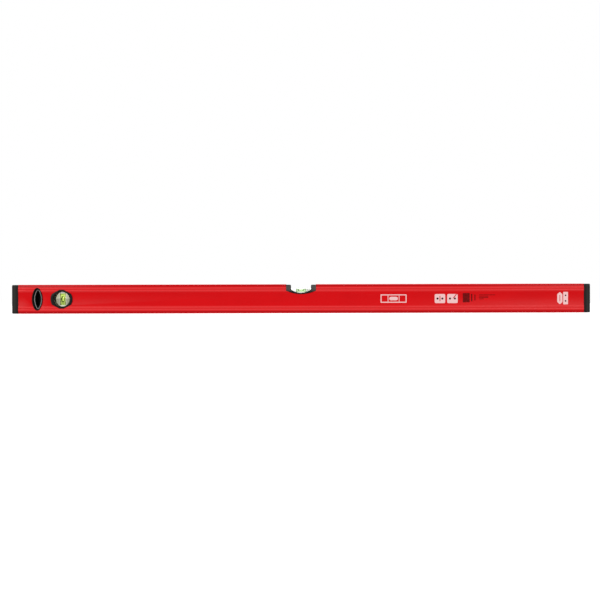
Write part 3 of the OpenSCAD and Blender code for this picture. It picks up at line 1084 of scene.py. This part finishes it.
@dataclass
class Prints:
    """The marks on the front face: plain shapes that stand for printed signs.

    Places and sizes are in millimetres. A place is a sign's middle, or where the etched bars start: how far along the
    level, and how high.
    """

    profile: BoxProfile
    white: bpy.types.Material
    dark: bpy.types.Material
    red: bpy.types.Material
    film: float = 0.03
    overprint: float = 0.02
    sink: float = 0.01
    vial_place: tuple[float, float] = (160.0, 24.8)
    left_square_place: tuple[float, float] = (240.2, 24.6)
    right_square_place: tuple[float, float] = (261.8, 24.6)
    bars_place: tuple[float, float] = (279.8, 26.0)
    end_place: tuple[float, float] = (447.5, 24.9)

    def patch(
        self, form: Form, x: float, z: float, width: float, height: float, over: bool = False, corner: float = 0.0,
        lean: float = 0.0, waist: float = 0.0,
    ) -> None:
        """Adds a flat shape to a print.

        Args:
            form: The print.
            x: The shape's middle along the level.
            z: The height of its middle.
            width: Its width.
            height: Its height.
            over: Whether it lies on top of another print.
            corner: How much its corners are rounded.
            lean: How far its head is shifted along the level.
            waist: How far its sides end short of its head and foot.
        """
        front, back = self.layer(over)
        low = Vector(((x - width / 2) * MM, front, (z - height / 2) * MM))
        high = Vector(((x + width / 2) * MM, back, (z + height / 2) * MM))
        form.panel(low, high, corner * MM, lean * MM, waist * MM)

    def dots(self, form: Form, places: tuple[tuple[float, float], ...], radius: float) -> None:
        """Adds dots on top of another print.

        Args:
            form: The print that they belong to.
            places: Each dot's place along the level, and its height.
            radius: Their radius.
        """
        front, back = self.layer(True)
        for x, z in places:
            form.dot(Vector((x * MM, front, z * MM)), radius * MM, back - front)

    def layer(self, over: bool) -> tuple[float, float]:
        """The Y of a print's front and of its back, which lies just inside the coat."""
        rise = self.film + (self.overprint if over else 0.0)
        return -self.profile.field_y - rise * MM, -self.profile.field_y + self.sink * MM

    def build(self) -> None:
        """Prints all the marks."""
        self.vial_sign(*self.vial_place)
        self.square_sign("left", *self.left_square_place, slanted=False)
        self.square_sign("right", *self.right_square_place, slanted=True)
        self.etched_bars(*self.bars_place)
        self.end_signs(*self.end_place)

    def vial_sign(self, x: float, z: float) -> None:
        """Prints a plain sign of a vial: a frame, its two lines and its bubble.

        Args:
            x: The sign's middle along the level.
            z: The height of its middle.
        """
        width, height, line = 45.0, 14.4, 1.7
        mark_x, mark_width = 9.6, 1.2
        bubble_length, bubble_height = 14.8, 6.2
        form = Form()
        for side in (-1, 1):
            self.patch(form, x, z + side * (height - line) / 2, width, line, corner=0.8)
            self.patch(form, x + side * (width - line) / 2, z, line, height - 2 * line)
            self.patch(form, x + side * mark_x, z, mark_width, height - 2 * line)
        self.patch(form, x, z, bubble_length, bubble_height, corner=3.0)
        form.finish("print_vial_sign", self.white, "print_white")

    def square_sign(self, side: str, x: float, z: float, slanted: bool) -> None:
        """Prints a square sign with two dots and a bar.

        Args:
            side: Which of the two signs it is.
            x: The sign's middle along the level.
            z: The height of its middle.
            slanted: Whether the bar is slanted and runs off the sign's corner.
        """
        width, height, dot_x, dot_radius = 18.2, 15.8, 4.2, 1.8
        form = Form()
        self.patch(form, x, z, width, height, corner=2.2)
        form.finish(f"print_square_{side}", self.white, "print_white")
        form = Form()
        self.dots(form, ((x - dot_x, z), (x + dot_x, z)), dot_radius)
        form.finish(f"print_square_{side}_dots", self.dark, "print_dark")
        form = Form()
        if slanted:
            bar_x, bar_z, bar_width, bar_height = 1.2, 4.2, 2.0, 7.2
            self.patch(form, x + bar_x, z + bar_z, bar_width, bar_height, over=True, lean=6.0)
        else:
            bar_width, bar_height = 1.5, 9.4
            self.patch(form, x, z, bar_width, bar_height, over=True, corner=0.7)
        form.finish(f"print_square_{side}_bar", self.red, "powder_red")

    def etched_bars(self, x: float, z: float) -> None:
        """Etches a block of upright bars and the fading lines next to it.

        Args:
            x: Where the block starts along the level.
            z: The height of its middle.
        """
        bars, bar_width, bar_height, pitch = 9, 1.02, 16.0, 1.32
        long_bars = ((15.4, 0.2, 1.7, 12.8), (20.9, 0.4, 1.4, 10.0))   # place from x and z, width, height
        lines_x, lines_top, line_pitch, line_width = 28.0, 4.8, 2.3, 0.8
        form = Form()
        for step in range(bars):
            self.patch(form, x + bar_width / 2 + step * pitch, z, bar_width, bar_height)
        for along, up, width, height in long_bars:
            self.patch(form, x + along, z + up, width, height)
        form.finish("etch_bars", self.dark, "print_dark")
        form = Form()
        for row, reach in enumerate((28.0, 16.0, 16.0, 8.0)):
            self.patch(form, x + lines_x + reach / 2, z + lines_top - line_pitch * row, reach, line_width)
        form.finish("etch_lines", self.dark, "print_dark")

    def end_signs(self, x: float, z: float) -> None:
        """Prints the long hexagon and the panel with two dots near the right end.

        Args:
            x: The hexagon's middle along the level.
            z: The height of its middle.
        """
        width, height, panel_width, gap = 9.0, 21.6, 8.3, 1.3
        bar_width, bar_height, dot_z, dot_radius = 1.2, 11.0, 4.8, 1.4
        form = Form()
        self.patch(form, x, z, width, height, corner=1.2, waist=4.1)
        form.finish("print_end_hexagon", self.white, "print_white")
        form = Form()
        self.patch(form, x, z, bar_width, bar_height, over=True, corner=0.5)
        form.finish("print_end_hexagon_bar", self.red, "powder_red")
        panel_x = x + width / 2 + gap + panel_width / 2
        form = Form()
        self.patch(form, panel_x, z, panel_width, height, corner=1.0)
        form.finish("print_end_panel", self.white, "print_white")
        form = Form()
        self.dots(form, ((panel_x, z - dot_z), (panel_x, z + dot_z)), dot_radius)
        form.finish("print_end_panel_dots", self.dark, "print_dark")


# ---- Studio ----


@dataclass(frozen=True)
class Softbox:
    """A soft light that hangs at a place and points at the level."""

    name: str
    place: tuple[float, float, float]
    width: float
    height: float
    watts: float

    def hang(self, aim: Vector) -> None:
        """Adds the light.

        Args:
            aim: What it points at.
        """
        data = bpy.data.lights.new(self.name, "AREA")
        data.shape = "RECTANGLE"
        data.size = self.width
        data.size_y = self.height
        data.energy = self.watts
        light = bpy.data.objects.new(self.name, data)
        light.location = self.place
        light.rotation_euler = (aim - Vector(self.place)).to_track_quat("-Z", "Y").to_euler()
        bpy.context.scene.collection.objects.link(light)


@dataclass
class Studio:
    """The floor, the lights and the camera."""

    lens: float = 48.0
    near_clip: float = 0.01
    distance: float = 1.3935
    camera_x: float = -1.8 * MM
    camera_z: float = 22.7 * MM
    roll: float = 0.138
    floor_radius: float = 30.0
    floor_pale: Colour = (0.88, 0.88, 0.88)
    floor_paler: Colour = (0.91, 0.91, 0.91)
    floor_glow: float = 0.35
    white: Colour = (1.0, 1.0, 1.0)
    diffuse_sky: float = 0.73
    mirrored_sky: float = 0.08
    softboxes: tuple[Softbox, ...] = (
        Softbox("front_left", place=(-2.2, -2.0, 1.1), width=1.2, height=1.6, watts=24.0),
        Softbox("front_right", place=(2.2, -2.0, 1.1), width=1.2, height=1.6, watts=20.0),
        Softbox("overhead", place=(0.0, -0.3, 2.6), width=3.0, height=0.8, watts=10.0),
        Softbox("rear", place=(0.0, 2.6, 1.4), width=2.6, height=1.2, watts=44.0),
    )

    def camera(self) -> None:
        """Sets the camera square to the front face."""
        data = bpy.data.cameras.new("camera")
        data.lens = self.lens
        data.clip_start = self.near_clip
        camera = bpy.data.objects.new("camera", data)
        camera.location = (self.camera_x, -self.distance, self.camera_z)
        facing = Matrix.Rotation(math.pi / 2, 4, "X") @ Matrix.Rotation(math.radians(-self.roll), 4, "Z")
        camera.rotation_euler = facing.to_euler()
        bpy.context.scene.collection.objects.link(camera)
        bpy.context.scene.camera = camera

    def floor(self) -> None:
        """Lays a plain pale floor."""
        s = Surface("pale_floor")
        pale = s.finish(
            Base_Color=s.blend(s.noise(3.0, 2.0), self.floor_pale, self.floor_paler), Roughness=0.9,
            Emission_Color=self.white, Emission_Strength=self.floor_glow, Specular_IOR_Level=0.0,
        )
        mesh = bmesh.new()
        bmesh.ops.create_circle(mesh, cap_ends=True, segments=96, radius=self.floor_radius)
        data = bpy.data.meshes.new("floor")
        mesh.to_mesh(data)
        mesh.free()
        data.materials.append(pale)
        floor = bpy.data.objects.new("floor", data)
        floor.visible_glossy = False
        floor.visible_diffuse = False
        bpy.context.scene.collection.objects.link(floor)

    def lights(self) -> None:
        """Hangs the lights and sets a white surround, which is dimmer where the level mirrors it."""
        for softbox in self.softboxes:
            softbox.hang(middle("box_profile"))
        world = bpy.data.worlds.new("studio")
        bpy.context.scene.world = world
        world.use_nodes = True
        nodes = Nodes(world.node_tree)
        diffuse = nodes.add("ShaderNodeLightPath", {}, {}, "Is Diffuse Ray")
        mirrored = diffuse.other("Is Glossy Ray") * (1 - diffuse.other("Is Transmission Ray"))
        strength = 1 - diffuse * (1 - self.diffuse_sky) - mirrored * (1 - self.mirrored_sky)
        sky = nodes.add("ShaderNodeBackground", {}, {"Color": self.white, "Strength": strength})
        nodes.add("ShaderNodeOutputWorld", {}, {"Surface": sky})


def main() -> None:
    """Builds the level in order, from the profile outwards."""
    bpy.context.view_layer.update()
    bpy.context.scene.view_settings.view_transform = "Standard"
    black = MouldedPlastic(
        "housing_black", colour=(0.0090, 0.0088, 0.0075), light=(0.0200, 0.0195, 0.0170), roughness=0.42,
    ).build()
    hard = MouldedPlastic(
        "hard_black", colour=(0.0090, 0.0088, 0.0080), light=(0.0180, 0.0174, 0.0160), roughness=0.46,
    ).build()
    # The reflector white has painted light: it glows so that it looks lit behind the clear acrylic.
    white = MouldedPlastic(
        "reflector_white", colour=(0.88, 0.89, 0.85), light=(0.80, 0.81, 0.76), roughness=0.24, grain=1400.0,
        painted_glow=0.25,
    ).build()
    glue = MouldedPlastic(
        "adhesive", colour=(0.60, 0.50, 0.30), light=(0.72, 0.64, 0.44), roughness=0.22, grain=900.0,
    ).build()
    rings = Ink("marker_ink", colour=(0.014, 0.022, 0.008), faded=(0.035, 0.045, 0.020)).build()

    profile = BoxProfile()
    profile.build()
    EndCaps(hard).build()
    HangSlot().build()
    air = BubbleAir().build()
    for vial in (LevelVial, PlumbVial):
        vial(black, air, white, rings, glue).build()
    Prints(
        profile,
        white=Ink("print_white", colour=(0.88, 0.58, 0.57), faded=(0.86, 0.40, 0.40)).build(),
        dark=Ink("print_dark", colour=(0.035, 0.0018, 0.0012), faded=(0.10, 0.004, 0.003)).build(),
        red=Ink("print_red", colour=(0.62, 0.020, 0.024), faded=(0.66, 0.045, 0.050)).build(),
    ).build()
    studio = Studio()
    studio.camera()
    studio.floor()
    studio.lights()


if __name__ == "__main__":
    main()
